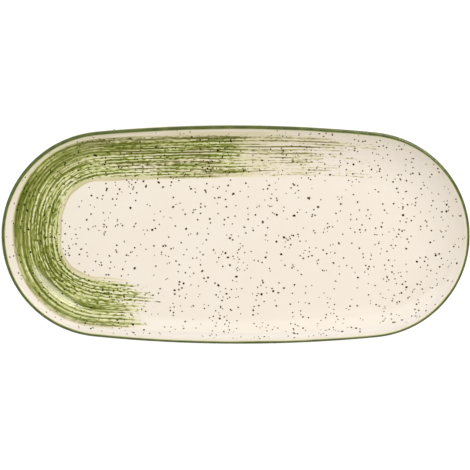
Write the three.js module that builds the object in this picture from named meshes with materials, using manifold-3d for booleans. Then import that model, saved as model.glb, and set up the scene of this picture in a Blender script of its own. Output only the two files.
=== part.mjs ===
import * as THREE from 'three';
import { mergeVertices } from 'three/addons/utils/BufferGeometryUtils.js';
import Module from 'manifold-3d';

// Oval serving plate of glazed stoneware, in millimetres, +Z up.
// The origin is on the table under the middle of the plate, and +X runs along its length.
// The brush stroke goes round the -X end, further along the +Y side than along the -Y side.

// Outline at the widest part of the lip: two round ends joined by two gently bowed sides
const PLATE_LENGTH = 330;
const PLATE_WIDTH = 155;
const SIDE_RADIUS = 1015;

// Upright section: floor, hollow wall, round lip and foot ring
const PLATE_HEIGHT = 25;
const FLOOR_THICKNESS = 5;
const WALL_RADIUS = 44;
const LIP_RADIUS = 1.6;
const FOOT_HEIGHT = 3;
const FOOT_WIDTH = 5;
const FOOT_SETBACK = 3;
const FOOT_FILLET = 1;
const FOOT_EDGE_RADIUS = 0.8;

// Fired coats. The band's two reaches run along the clay from the crest of the lip.
const GLAZE_THICKNESS = 0.4;
const BAND_REACH_INSIDE = 0.2;
const BAND_REACH_OUTSIDE = 2.8;

// Brush stroke: how far its edges lie from the edge of the plate
const STROKE_THICKNESS = 0.2;
const STROKE_OUTER_INSET = 8;
const STROKE_FAR_INSET = 36;
const STROKE_END_INSET = 45;
const STROKE_NEAR_INSET = 45;
const STROKE_CORNER = 26;

// Where the loaded brush runs dry, and how far the longest bristle streak goes on from there.
// The far run is measured from the middle of the plate, the near one from its -X end.
const FAR_RUN = -14;
const FAR_STREAK = 115;
const NEAR_RUN = 83;
const NEAR_STREAK = 34;
const BRISTLE_LANES = 9;

// Facets, and the least distance between two stations of the section
const END_STEPS = 24;
const SIDE_STEPS = 4;
const WALL_STEPS = 7;
const LIP_STEPS = 8;
const FILLET_STEPS = 3;
const CORNER_STEPS = 6;
const STATION_SPACING = 0.05;

const RIGHT_ANGLE = Math.PI / 2;
const HALF_TURN = Math.PI;
const STRAIGHT_DOWN = 3 * RIGHT_ANGLE;
const GOLDEN_SHARE = (Math.sqrt(5) - 1) / 2;

// Outline: the end arcs and the side arcs touch on the line through their centres
const halfLength = PLATE_LENGTH / 2;
const halfWidth = PLATE_WIDTH / 2;
const endRadius =
  (2 * SIDE_RADIUS * halfWidth - halfLength ** 2 - halfWidth ** 2) / (2 * (SIDE_RADIUS - halfLength));
const endCentre = halfLength - endRadius;
const sideCentre = SIDE_RADIUS - halfWidth;
const endHalfAngle = Math.atan2(sideCentre, endCentre);

// The oval at a distance inside the outline, as four arcs counter-clockwise from the +X end
function ovalArcs(inset) {
  const end = endRadius - inset;
  const side = SIDE_RADIUS - inset;
  const turns = [-endHalfAngle, endHalfAngle, HALF_TURN - endHalfAngle, HALF_TURN + endHalfAngle];
  return [
    new THREE.EllipseCurve(endCentre, 0, end, end, turns[0], turns[1]),
    new THREE.EllipseCurve(0, -sideCentre, side, side, turns[1], turns[2]),
    new THREE.EllipseCurve(-endCentre, 0, end, end, turns[2], turns[3]),
    new THREE.EllipseCurve(0, sideCentre, side, side, turns[3], turns[0] + 2 * HALF_TURN),
  ];
}

function ovalRing(inset, height) {
  const points = ovalArcs(inset).flatMap((arc, i) => {
    return arc.getPoints(i % 2 === 0 ? END_STEPS : SIDE_STEPS).slice(0, -1);
  });
  return points.map((point) => new THREE.Vector3(point.x, point.y, height));
}

// Half the width of the oval at a place along the plate
function ovalHalfWidth(along, inset) {
  const side = SIDE_RADIUS - inset;
  if (Math.abs(along) < side * Math.cos(endHalfAngle)) {
    return Math.sqrt(side ** 2 - along ** 2) - sideCentre;
  }
  return Math.sqrt((endRadius - inset) ** 2 - (Math.abs(along) - endCentre) ** 2);
}

// Section of the clay, drawn as height over inset from the outline
const floorHeight = FOOT_HEIGHT + FLOOR_THICKNESS;
const lipInset = GLAZE_THICKNESS + LIP_RADIUS;
const lipHeight = PLATE_HEIGHT - GLAZE_THICKNESS - LIP_RADIUS;

// The hollow wall leaves the floor level and runs into the lip
const wallHeight = floorHeight + WALL_RADIUS;
const wallInset = lipInset + Math.sqrt((WALL_RADIUS + LIP_RADIUS) ** 2 - (wallHeight - lipHeight) ** 2);
const wallTop = Math.atan2(wallHeight - lipHeight, wallInset - lipInset);

// The outside runs from the lip round to the level underside, below the foot of the hollow wall
const lipDrop = lipHeight - FOOT_HEIGHT;
const outsideRadius =
  ((wallInset - lipInset) ** 2 + lipDrop ** 2 - LIP_RADIUS ** 2) / (2 * (lipDrop - LIP_RADIUS));
const outsideHeight = FOOT_HEIGHT + outsideRadius;
const outsideTop = Math.atan2(outsideHeight - lipHeight, wallInset - lipInset);

const footFillet = Math.min(FOOT_FILLET, FOOT_SETBACK, FOOT_HEIGHT - FOOT_EDGE_RADIUS);
const footOutside = wallInset + FOOT_SETBACK;
const footInside = footOutside + FOOT_WIDTH;

function sectionArc(inset, height, radius, from, to) {
  return new THREE.EllipseCurve(inset, height, radius, radius, from, to, to < from);
}

function sectionLine(fromInset, fromHeight, toInset, toHeight) {
  return new THREE.LineCurve(new THREE.Vector2(fromInset, fromHeight), new THREE.Vector2(toInset, toHeight));
}

function footFilletArc(inset, from) {
  return sectionArc(inset, FOOT_HEIGHT - footFillet, footFillet, from, from - RIGHT_ANGLE);
}

function footEdgeArc(inset, from) {
  return sectionArc(inset, FOOT_EDGE_RADIUS, FOOT_EDGE_RADIUS, from, from + RIGHT_ANGLE);
}

const sideTop = FOOT_HEIGHT - footFillet;
const section = {
  wall: [sectionArc(wallInset, wallHeight, WALL_RADIUS, STRAIGHT_DOWN, HALF_TURN + wallTop), WALL_STEPS],
  lip: [sectionArc(lipInset, lipHeight, LIP_RADIUS, wallTop, HALF_TURN + outsideTop), LIP_STEPS],
  outside: [
    sectionArc(wallInset, outsideHeight, outsideRadius, HALF_TURN + outsideTop, STRAIGHT_DOWN),
    WALL_STEPS,
  ],
  underside: [sectionLine(wallInset, FOOT_HEIGHT, footOutside - footFillet, FOOT_HEIGHT), 1],
  outerFillet: [footFilletArc(footOutside - footFillet, RIGHT_ANGLE), FILLET_STEPS],
  outerSide: [sectionLine(footOutside, sideTop, footOutside, FOOT_EDGE_RADIUS), 1],
  outerEdge: [footEdgeArc(footOutside + FOOT_EDGE_RADIUS, HALF_TURN), FILLET_STEPS],
  sole: [sectionLine(footOutside + FOOT_EDGE_RADIUS, 0, footInside - FOOT_EDGE_RADIUS, 0), 1],
  innerEdge: [footEdgeArc(footInside - FOOT_EDGE_RADIUS, STRAIGHT_DOWN), FILLET_STEPS],
  innerSide: [sectionLine(footInside, FOOT_EDGE_RADIUS, footInside, sideTop), 1],
  innerFillet: [footFilletArc(footInside + footFillet, HALF_TURN), FILLET_STEPS],
};

// Distance along the section to where a stretch begins
function startOf(name) {
  const names = Object.keys(section);
  const before = names.slice(0, names.indexOf(name));
  return before.reduce((sum, each) => sum + section[each][0].getLength(), 0);
}

const lipShare = (RIGHT_ANGLE - wallTop) / (HALF_TURN + outsideTop - wallTop);
const crest = startOf('lip') + lipShare * section.lip[0].getLength();
const bandTop = crest - BAND_REACH_INSIDE;
const bandBottom = crest + BAND_REACH_OUTSIDE;
const glazeBottom = startOf('outerEdge');
const baseStart = startOf('innerSide');

// Stations along the clay, each with its point and the direction out of the clay.
// The edges of the coats are stations of their own, so that neighbours meet face to face.
const coatEdges = [bandTop, bandBottom];

function sectionStations() {
  const stations = [];
  let start = 0;
  for (const [curve, steps] of Object.values(section)) {
    const length = curve.getLength();
    const edges = coatEdges.filter((edge) => edge >= start && edge < start + length);
    const steady = Array.from({ length: steps }, (_, i) => start + (length * i) / steps);
    const clear = steady.filter((at) => edges.every((edge) => Math.abs(edge - at) > STATION_SPACING));
    for (const at of [...clear, ...edges].sort((a, b) => a - b)) {
      const tangent = curve.getTangent((at - start) / length);
      const out = new THREE.Vector2(tangent.y, -tangent.x);
      stations.push({ at, point: curve.getPoint((at - start) / length), out });
    }
    start += length;
  }
  const innermost = section.innerFillet[0].getPoint(1);
  stations.push({ at: start, point: innermost, out: new THREE.Vector2(0, -1) });
  return stations;
}

const stations = sectionStations();

// Points of the section at a height above the clay, between two distances along it
function coatLine(height, from, to) {
  const within = stations.filter((station) => {
    return station.at > from - STATION_SPACING / 2 && station.at < to + STATION_SPACING / 2;
  });
  return within.map((station) => station.point.clone().addScaledVector(station.out, height));
}

// Closed shell swept round the oval. A capped one ends in a level disc at its first and last line.
function ovalShell(lines, capped) {
  const rings = lines.map((line) => ovalRing(line.x, line.y));
  const around = rings[0].length;
  const vertices = rings.flat();
  const triangles = [];
  const strips = capped ? rings.length - 1 : rings.length;
  for (let strip = 0; strip < strips; strip += 1) {
    const here = strip * around;
    const there = ((strip + 1) % rings.length) * around;
    for (let k = 0; k < around; k += 1) {
      const next = (k + 1) % around;
      triangles.push(here + k, there + k, there + next);
      triangles.push(here + k, there + next, here + next);
    }
  }
  if (capped) {
    const lastRing = vertices.length - around;
    const first = vertices.length;
    const last = first + 1;
    vertices.push(new THREE.Vector3(0, 0, lines[0].y));
    vertices.push(new THREE.Vector3(0, 0, lines[lines.length - 1].y));
    for (let k = 0; k < around; k += 1) {
      const next = (k + 1) % around;
      triangles.push(first, k, next);
      triangles.push(last, lastRing + next, lastRing + k);
    }
  }
  const geometry = new THREE.BufferGeometry().setFromPoints(vertices);
  geometry.setIndex(triangles);
  geometry.computeVertexNormals();
  return geometry;
}

const sectionEnd = stations[stations.length - 1].at;

function stonewareBody() {
  return ovalShell(coatLine(0, 0, sectionEnd), true);
}

// Coat on the upper face, between two heights above the clay
function faceCoat(bottom, top) {
  return ovalShell([...coatLine(top, 0, bandTop), ...coatLine(bottom, 0, bandTop).reverse()], true);
}

function ringCoat(from, to) {
  return ovalShell([...coatLine(GLAZE_THICKNESS, from, to), ...coatLine(0, from, to).reverse()], false);
}

function baseCoat() {
  const under = coatLine(0, baseStart, sectionEnd).reverse();
  return ovalShell([...under, ...coatLine(GLAZE_THICKNESS, baseStart, sectionEnd)], true);
}

// Points of the oval between two places along the plate, round its -X end
function roundTheEnd(inset, fromAlong, toAlong) {
  const [, farSide, end, nearSide] = ovalArcs(inset);
  const side = SIDE_RADIUS - inset;
  farSide.aStartAngle = Math.acos(fromAlong / side);
  nearSide.aEndAngle = 2 * HALF_TURN - Math.acos(toAlong / side);
  return [
    ...farSide.getPoints(SIDE_STEPS).slice(0, -1),
    ...end.getPoints(END_STEPS).slice(0, -1),
    ...nearSide.getPoints(SIDE_STEPS),
  ];
}

// Ragged end of the stroke: each lane of bristles draws out to a point of its own length
function raggedEnd(alongStart, streak, yAt) {
  const points = [];
  for (let lane = 0; lane < BRISTLE_LANES; lane += 1) {
    const length = streak * (((lane + 1) * GOLDEN_SHARE) % 1);
    const tip = alongStart + length;
    points.push(new THREE.Vector2(tip, yAt(tip, (lane + 0.5) / BRISTLE_LANES)));
    if (lane < BRISTLE_LANES - 1) {
      points.push(new THREE.Vector2(alongStart, yAt(alongStart, (lane + 1) / BRISTLE_LANES)));
    }
  }
  return points;
}

// Plan of the brush stroke: outer edge along the rim, near end, inner edge, far end
function strokePlan() {
  const innerEnd = -halfLength + STROKE_END_INSET;
  const innerFar = halfWidth - STROKE_FAR_INSET;
  const innerNear = -halfWidth + STROKE_NEAR_INSET;
  const corner = Math.min(STROKE_CORNER, (innerFar - innerNear) / 2);
  const nearStart = -halfLength + NEAR_RUN;
  const lerp = THREE.MathUtils.lerp;
  const nearAt = (along, share) => lerp(-ovalHalfWidth(along, STROKE_OUTER_INSET), innerNear, share);
  const farAt = (along, share) => lerp(innerFar, ovalHalfWidth(along, STROKE_OUTER_INSET), share);
  const nearCorner = new THREE.QuadraticBezierCurve(
    new THREE.Vector2(innerEnd + corner, innerNear),
    new THREE.Vector2(innerEnd, innerNear),
    new THREE.Vector2(innerEnd, innerNear + corner),
  );
  const farCorner = new THREE.QuadraticBezierCurve(
    new THREE.Vector2(innerEnd, innerFar - corner),
    new THREE.Vector2(innerEnd, innerFar),
    new THREE.Vector2(innerEnd + corner, innerFar),
  );
  return new THREE.Shape([
    ...roundTheEnd(STROKE_OUTER_INSET, FAR_RUN, nearStart),
    ...raggedEnd(nearStart, NEAR_STREAK, nearAt),
    new THREE.Vector2(nearStart, innerNear),
    ...nearCorner.getPoints(CORNER_STEPS),
    ...farCorner.getPoints(CORNER_STEPS),
    new THREE.Vector2(FAR_RUN, innerFar),
    ...raggedEnd(FAR_RUN, FAR_STREAK, farAt),
  ]);
}

const wasm = await Module();
wasm.setup();

function toSolid(geometry) {
  const bare = geometry.clone();
  bare.deleteAttribute('normal');
  bare.deleteAttribute('uv');
  const merged = mergeVertices(bare);
  return new wasm.Manifold(new wasm.Mesh({
    numProp: 3,
    vertProperties: merged.getAttribute('position').array,
    triVerts: new Uint32Array(merged.index.array),
  }));
}

function toGeometry(solid) {
  const mesh = solid.getMesh();
  const geometry = new THREE.BufferGeometry();
  geometry.setAttribute('position', new THREE.BufferAttribute(mesh.vertProperties, 3));
  geometry.setIndex(new THREE.BufferAttribute(mesh.triVerts, 1));
  geometry.computeVertexNormals();
  return geometry;
}

function brushStroke() {
  const coat = faceCoat(GLAZE_THICKNESS, GLAZE_THICKNESS + STROKE_THICKNESS);
  const stencil = new THREE.ExtrudeGeometry(strokePlan(), { depth: PLATE_HEIGHT, bevelEnabled: false });
  return toGeometry(toSolid(coat).intersect(toSolid(stencil)));
}

const clay = new THREE.MeshStandardMaterial({ color: 0xb49c7e, roughness: 0.85, metalness: 0 });
const creamGlaze = new THREE.MeshStandardMaterial({ color: 0xf3e9dc, roughness: 0.2, metalness: 0 });
const rimGlaze = new THREE.MeshStandardMaterial({ color: 0x5a6830, roughness: 0.2, metalness: 0 });
const strokeGlaze = new THREE.MeshStandardMaterial({ color: 0x8b9150, roughness: 0.2, metalness: 0 });

const plate = new THREE.Group();

function addPiece(name, geometry, material) {
  const mesh = new THREE.Mesh(geometry, material);
  mesh.name = name;
  plate.add(mesh);
}

addPiece('stoneware_body', stonewareBody(), clay);
addPiece('face_glaze', faceCoat(0, GLAZE_THICKNESS), creamGlaze);
addPiece('wall_glaze', ringCoat(bandBottom, glazeBottom), creamGlaze);
addPiece('base_glaze', baseCoat(), creamGlaze);
addPiece('rim_band', ringCoat(bandTop, bandBottom), rimGlaze);
addPiece('brush_stroke', brushStroke(), strokeGlaze);

export default plate;
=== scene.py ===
"""Oval serving plate of glazed stoneware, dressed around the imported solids.

Lengths are in metres, written as millimetres times MM. +X runs along the plate, away from its brushed
end, +Y to the side that lies far from the camera, and z = 0 is the table.
"""

import math

import bmesh
import bpy
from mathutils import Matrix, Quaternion, Vector


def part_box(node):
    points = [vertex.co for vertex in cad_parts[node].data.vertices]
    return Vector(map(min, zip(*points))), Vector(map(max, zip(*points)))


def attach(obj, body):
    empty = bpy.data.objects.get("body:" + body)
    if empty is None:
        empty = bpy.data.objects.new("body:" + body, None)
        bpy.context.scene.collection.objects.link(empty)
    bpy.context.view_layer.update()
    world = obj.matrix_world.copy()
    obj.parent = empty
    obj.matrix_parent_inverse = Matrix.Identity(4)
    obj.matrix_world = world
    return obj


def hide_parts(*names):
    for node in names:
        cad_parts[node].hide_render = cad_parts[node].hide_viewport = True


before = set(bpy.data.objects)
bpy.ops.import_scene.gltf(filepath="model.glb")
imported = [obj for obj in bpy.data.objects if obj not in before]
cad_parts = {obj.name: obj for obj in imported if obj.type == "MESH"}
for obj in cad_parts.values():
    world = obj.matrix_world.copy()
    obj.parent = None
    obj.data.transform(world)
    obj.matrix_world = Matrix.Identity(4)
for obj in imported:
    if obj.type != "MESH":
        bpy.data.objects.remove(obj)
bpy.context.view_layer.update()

MM = 0.001

# Outline at the widest part of the lip: two round ends joined by two gently bowed sides
half_length, half_width, plate_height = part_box("rim_band")[1]
SIDE_RADIUS = 1015 * MM

# Upright section of the clay, and the coat of glaze on it
FLOOR_THICKNESS = 5 * MM
WALL_RADIUS = 44 * MM
LIP_RADIUS = 1.6 * MM
FOOT_HEIGHT = 3 * MM
FOOT_WIDTH = 5 * MM
FOOT_SETBACK = 3 * MM
FOOT_FILLET = 1 * MM
FOOT_EDGE_RADIUS = 0.8 * MM
GLAZE_THICKNESS = 0.4 * MM

# The green lip line is painted on a ring of glaze that reaches this far from the crest of the lip
LIP_REACH_INSIDE = 2.6 * MM
LIP_REACH_OUTSIDE = 3.6 * MM

# Steps of the sweep round the oval, and of its section
END_STEPS = 120
SIDE_STEPS = 28
WALL_STEPS = 40
LIP_STEPS = 36
FILLET_STEPS = 6

# Edges between two coats and at the foot stay crisp above this angle
CRISP_ANGLE = math.radians(40)

RIGHT_ANGLE = math.pi / 2
HALF_TURN = math.pi
STRAIGHT_DOWN = 3 * RIGHT_ANGLE


def linear(code):
    """Linear colour of an sRGB hex code"""
    shares = [int(code[i:i + 2], 16) / 255 for i in (0, 2, 4)]
    return [s / 12.92 if s <= 0.04045 else ((s + 0.055) / 1.055) ** 2.4 for s in shares] + [1]


def node(tree, kind, feeds=None, stops=(), **settings):
    """Adds a node with its settings and links.

    Feeds are the values of its sockets, or the node or socket behind them.
    Stops are the places and colours of a ramp.
    """
    made = tree.nodes.new(kind)
    for name, value in settings.items():
        setattr(made, name, value)
    for key, value in (feeds or {}).items():
        named = [each for each in made.inputs if each.name == key and each.enabled]
        socket = named[0] if named else made.inputs[key]
        if isinstance(value, bpy.types.Node):
            value = next(each for each in value.outputs if each.enabled)
        if isinstance(value, bpy.types.NodeSocket):
            tree.links.new(value, socket)
        else:
            socket.default_value = value
    for i, (place, colour) in enumerate(stops):
        elements = made.color_ramp.elements
        element = elements[i] if i < len(elements) else elements.new(place)
        element.position = place
        element.color = colour
    return made


# Plan of the plate
end_radius = (
    (2 * SIDE_RADIUS * half_width - half_length ** 2 - half_width ** 2)
    / (2 * (SIDE_RADIUS - half_length))
)
end_centre = half_length - end_radius
side_centre = SIDE_RADIUS - half_width
end_half_angle = math.atan2(side_centre, end_centre)


def arc_points(centre, radius, start, end, steps):
    """Points of an arc without its last one, each with the direction to the right of the drawn way"""
    turn = math.copysign(1, end - start)
    points = []
    for step in range(steps):
        angle = start + (end - start) * step / steps
        spoke = Vector((math.cos(angle), math.sin(angle)))
        points.append((centre + radius * spoke, turn * spoke))
    return points


def line_points(start, end, steps):
    """Points of a line without its last one, each with the direction to the right of the drawn way"""
    way = (end - start).normalized()
    return [(start.lerp(end, step / steps), Vector((way.y, -way.x))) for step in range(steps)]


def oval_outline():
    """The plate's outline, counter-clockwise from the +X end"""
    end = Vector((end_centre, 0))
    side = Vector((0, side_centre))
    turns = [-end_half_angle, end_half_angle, HALF_TURN - end_half_angle, HALF_TURN + end_half_angle]
    arcs = arc_points(end, end_radius, turns[0], turns[1], END_STEPS)
    arcs += arc_points(-side, SIDE_RADIUS, turns[1], turns[2], SIDE_STEPS)
    arcs += arc_points(-end, end_radius, turns[2], turns[3], END_STEPS)
    arcs += arc_points(side, SIDE_RADIUS, turns[3], turns[0] + 2 * HALF_TURN, SIDE_STEPS)
    return [point for point, out in arcs]


# Section of the clay, drawn as height over inset from the outline
floor_height = FOOT_HEIGHT + FLOOR_THICKNESS
lip_inset = GLAZE_THICKNESS + LIP_RADIUS
lip_height = plate_height - GLAZE_THICKNESS - LIP_RADIUS

# The hollow wall leaves the floor level and runs into the lip
wall_height = floor_height + WALL_RADIUS
wall_inset = lip_inset + math.sqrt((WALL_RADIUS + LIP_RADIUS) ** 2 - (wall_height - lip_height) ** 2)
wall_run = wall_inset - lip_inset
wall_top = math.atan2(wall_height - lip_height, wall_run)

# The outside runs from the lip round to the level underside, below the foot of the hollow wall
lip_drop = lip_height - FOOT_HEIGHT
outside_radius = (wall_run ** 2 + lip_drop ** 2 - LIP_RADIUS ** 2) / (2 * (lip_drop - LIP_RADIUS))
outside_height = FOOT_HEIGHT + outside_radius
outside_top = math.atan2(outside_height - lip_height, wall_run)

foot_outside = wall_inset + FOOT_SETBACK
foot_inside = foot_outside + FOOT_WIDTH
foot_side_top = FOOT_HEIGHT - FOOT_FILLET


def clay_section():
    """Stretches of the clay's section by name, from the middle of the well over the lip to the base"""
    wall_middle = Vector((wall_inset, wall_height))
    lip_middle = Vector((lip_inset, lip_height))
    outside_middle = Vector((wall_inset, outside_height))
    outer_fillet = Vector((foot_outside - FOOT_FILLET, foot_side_top))
    inner_fillet = Vector((foot_inside + FOOT_FILLET, foot_side_top))
    outer_edge = Vector((foot_outside + FOOT_EDGE_RADIUS, FOOT_EDGE_RADIUS))
    inner_edge = Vector((foot_inside - FOOT_EDGE_RADIUS, FOOT_EDGE_RADIUS))
    down = Vector((0, -FOOT_EDGE_RADIUS))
    up = Vector((0, FOOT_FILLET))
    return {
        "wall": arc_points(wall_middle, WALL_RADIUS, STRAIGHT_DOWN, HALF_TURN + wall_top, WALL_STEPS),
        "lip": arc_points(lip_middle, LIP_RADIUS, wall_top, HALF_TURN + outside_top, LIP_STEPS),
        "outside": arc_points(
            outside_middle, outside_radius, HALF_TURN + outside_top, STRAIGHT_DOWN, WALL_STEPS
        ),
        "underside": line_points(Vector((wall_inset, FOOT_HEIGHT)), outer_fillet + up, 2),
        "outer fillet": arc_points(outer_fillet, FOOT_FILLET, RIGHT_ANGLE, 0, FILLET_STEPS),
        "outer side": line_points(
            Vector((foot_outside, foot_side_top)), Vector((foot_outside, FOOT_EDGE_RADIUS)), 2
        ),
        "outer edge": arc_points(outer_edge, FOOT_EDGE_RADIUS, HALF_TURN, STRAIGHT_DOWN, FILLET_STEPS),
        "sole": line_points(outer_edge + down, inner_edge + down, 2),
        "inner edge": arc_points(inner_edge, FOOT_EDGE_RADIUS, STRAIGHT_DOWN, 2 * HALF_TURN, FILLET_STEPS),
        "inner side": line_points(
            Vector((foot_inside, FOOT_EDGE_RADIUS)), Vector((foot_inside, foot_side_top)), 2
        ),
        "inner fillet": arc_points(inner_fillet, FOOT_FILLET, HALF_TURN, RIGHT_ANGLE, FILLET_STEPS),
        "base": [(inner_fillet + up, Vector((0, -1)))],
    }


section = clay_section()
stations = [station for stretch in section.values() for station in stretch]


def place_of(stretch):
    """Number of the station where a stretch of the section begins"""
    names = list(section)
    return sum(len(section[name]) for name in names[:names.index(stretch)])


# Distance along the glaze from the crest of the lip, positive on the outside
glazed = [point + out * GLAZE_THICKNESS for point, out in stations]
crest = max(range(len(glazed)), key=lambda i: glazed[i].y)
from_crest = [0.0] * len(glazed)
for i in range(crest + 1, len(glazed)):
    from_crest[i] = from_crest[i - 1] + (glazed[i] - glazed[i - 1]).length
for i in range(crest - 1, -1, -1):
    from_crest[i] = from_crest[i + 1] - (glazed[i + 1] - glazed[i]).length

lip_start = next(i for i, reach in enumerate(from_crest) if reach > -LIP_REACH_INSIDE)
lip_end = next(i for i, reach in enumerate(from_crest) if reach > LIP_REACH_OUTSIDE)
outside_end = place_of("outer edge")
base_start = place_of("inner side")


def coat(first, last):
    """Section of a glaze coat between two stations: along its skin, then back along the clay"""
    way = 1 if first < last else -1
    skin = range(first, last + way, way)
    points = [glazed[i] for i in skin] + [stations[i][0] for i in reversed(skin)]
    on_skin = [1.0] * len(skin) + [0.0] * len(skin)
    reach = [from_crest[i] for i in skin] + [from_crest[i] for i in reversed(skin)]
    return points, {"skin": on_skin, "from_crest": reach}


def line_object(name, points, closed, marks):
    """A line of edges that a node tree sweeps, with the marks as attributes of its points"""
    count = len(points)
    edges = [(i, i + 1) for i in range(count - 1)]
    if closed:
        edges.append((count - 1, 0))
    mesh = bpy.data.meshes.new(name)
    mesh.from_pydata([point.to_3d() for point in points], edges, [])
    for mark, values in marks.items():
        mesh.attributes.new(mark, "FLOAT", "POINT").data.foreach_set("value", values)
    holder = bpy.data.objects.new(name, mesh)
    bpy.context.scene.collection.objects.link(holder)
    return holder


def new_tree(name, inputs):
    """A geometry node tree with these named inputs besides its geometry, and its two end nodes"""
    tree = bpy.data.node_groups.new(name, "GeometryNodeTree")
    tree.interface.new_socket("Geometry", in_out="INPUT", socket_type="NodeSocketGeometry")
    for label, kind in inputs.items():
        tree.interface.new_socket(label, in_out="INPUT", socket_type=kind)
    tree.interface.new_socket("Geometry", in_out="OUTPUT", socket_type="NodeSocketGeometry")
    return tree, node(tree, "NodeGroupInput"), node(tree, "NodeGroupOutput")


def end_tree(tree, given, result, geometry):
    """Ends a tree in Realize Instances and Set Material"""
    real = node(tree, "GeometryNodeRealizeInstances", {"Geometry": geometry})
    painted = node(
        tree, "GeometryNodeSetMaterial", {"Geometry": real, "Material": given.outputs["Material"]}
    )
    tree.links.new(painted.outputs["Geometry"], result.inputs["Geometry"])


def run_tree(holder, tree, values, name):
    """Runs a node tree on an object and turns the result into a plain piece"""
    modifier = holder.modifiers.new(tree.name, "NODES")
    modifier.node_group = tree
    for item in tree.interface.items_tree:
        if item.in_out == "INPUT" and item.name in values:
            modifier[item.identifier] = values[item.name]
    evaluated = holder.evaluated_get(bpy.context.evaluated_depsgraph_get())
    mesh = bpy.data.meshes.new_from_object(evaluated)
    mesh.name = name
    holder.modifiers.remove(modifier)
    piece = bpy.data.objects.new(name, mesh)
    bpy.context.scene.collection.objects.link(piece)
    return piece


def oval_sweep_tree():
    """Sweeps a section, drawn as -inset and -height, round the outline"""
    tree, given, result = new_tree("oval sweep", {
        "Outline": "NodeSocketObject",
        "Material": "NodeSocketMaterial",
    })
    outline = node(tree, "GeometryNodeObjectInfo", {"Object": given.outputs["Outline"]})
    path = node(tree, "GeometryNodeMeshToCurve", {"Mesh": outline.outputs["Geometry"]})
    upright = node(tree, "GeometryNodeSetCurveNormal", {"Curve": path}, mode="Z_UP")
    profile = node(tree, "GeometryNodeMeshToCurve", {"Mesh": given.outputs["Geometry"]})
    shell = node(tree, "GeometryNodeCurveToMesh", {"Curve": upright, "Profile Curve": profile})
    end_tree(tree, given, result, shell)
    return tree


outline = line_object("outline", oval_outline(), True, {})
oval_sweep = oval_sweep_tree()


def close_and_smooth(piece):
    """Closes a swept piece's level discs, turns its faces outwards and keeps its coat edges crisp"""
    shell = bmesh.new()
    shell.from_mesh(piece.data)
    bmesh.ops.holes_fill(shell, edges=[edge for edge in shell.edges if edge.is_boundary], sides=0)
    bmesh.ops.recalc_face_normals(shell, faces=shell.faces)
    shell.to_mesh(piece.data)
    shell.free()
    piece.data.shade_smooth()
    piece.data.set_sharp_from_angle(angle=CRISP_ANGLE)


def swept_piece(name, points, closed, marks, material):
    """A piece of the plate with this section all round"""
    profile = line_object(name + " section", [-point for point in points], closed, marks)
    piece = run_tree(profile, oval_sweep, {"Outline": outline, "Material": material}, name)
    bpy.data.objects.remove(profile)
    close_and_smooth(piece)
    return piece


def new_material(name):
    """A node material of that name, with its tree and its shader"""
    material = bpy.data.materials.new(name)
    material.use_nodes = True
    return material, material.node_tree, material.node_tree.nodes["Principled BSDF"]


# Colours of the cream, and the gloss and the slow ripple that all the glazes share
CREAM = linear("F3E9DB")
CREAM_WARM = linear("F0E4D2")
CREAM_MOTTLE_SIZE = 26 * MM
GLAZE_RIPPLE_SIZE = 6 * MM
GLAZE_RIPPLE_DEPTH = 0.003 * MM
GLAZE_ROUGHNESS = 0.12
GLAZE_IOR = 1.52


def cream_colour(tree, place):
    """Cream of the glaze, a little warmer where it was fired thinner"""
    mottle = node(
        tree, "ShaderNodeTexNoise", {"Vector": place, "Scale": 1 / CREAM_MOTTLE_SIZE, "Detail": 3.0}
    )
    return node(tree, "ShaderNodeMix", {"Factor": mottle, "A": CREAM, "B": CREAM_WARM}, data_type="RGBA")


def region(tree, places, bounds):
    """1 inside the bounds, each of which fades from its first place on an axis to its second"""
    inside = 1.0
    for axis, end, full in bounds:
        fade = node(tree, "ShaderNodeMapRange", {
            "Value": places[axis], "From Min": float(end), "From Max": float(full),
        })
        inside = node(tree, "ShaderNodeMath", {0: inside, 1: fade}, operation="MULTIPLY")
    return inside


# Below the lip the cream is stained by the green on the far side, most of all at the left end, and there
# it is also darkened with painted shade. On the near side and a little at the right end it is lightened
# with painted light, a whiter cream. Places are millimetres outwards from the crest of the lip,
# millimetres to the far side, and a share of the way to the near right edge. Going left, the stain and its
# painted shade rise between two places in millimetres from one share of their strength to another.
STAIN_AND_SHADE = linear("AAA56E")
STAIN_AND_SHADE_SHARE = 0.28
STAIN_AND_SHADE_BOUNDS = [("from crest", -8, -4), ("far", 15, 60)]
STAIN_AND_SHADE_LEFT = (-30, -90, 0.4, 1.0)
PAINTED_LIGHT_CREAM = linear("FBF3EA")
PAINTED_LIGHT_BOUNDS = [("from crest", -10, -5), ("from crest", -1.2, -3), ("near right", 0.1, 0.9)]
PAINTED_LIGHT_RIGHT = 0.2


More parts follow.
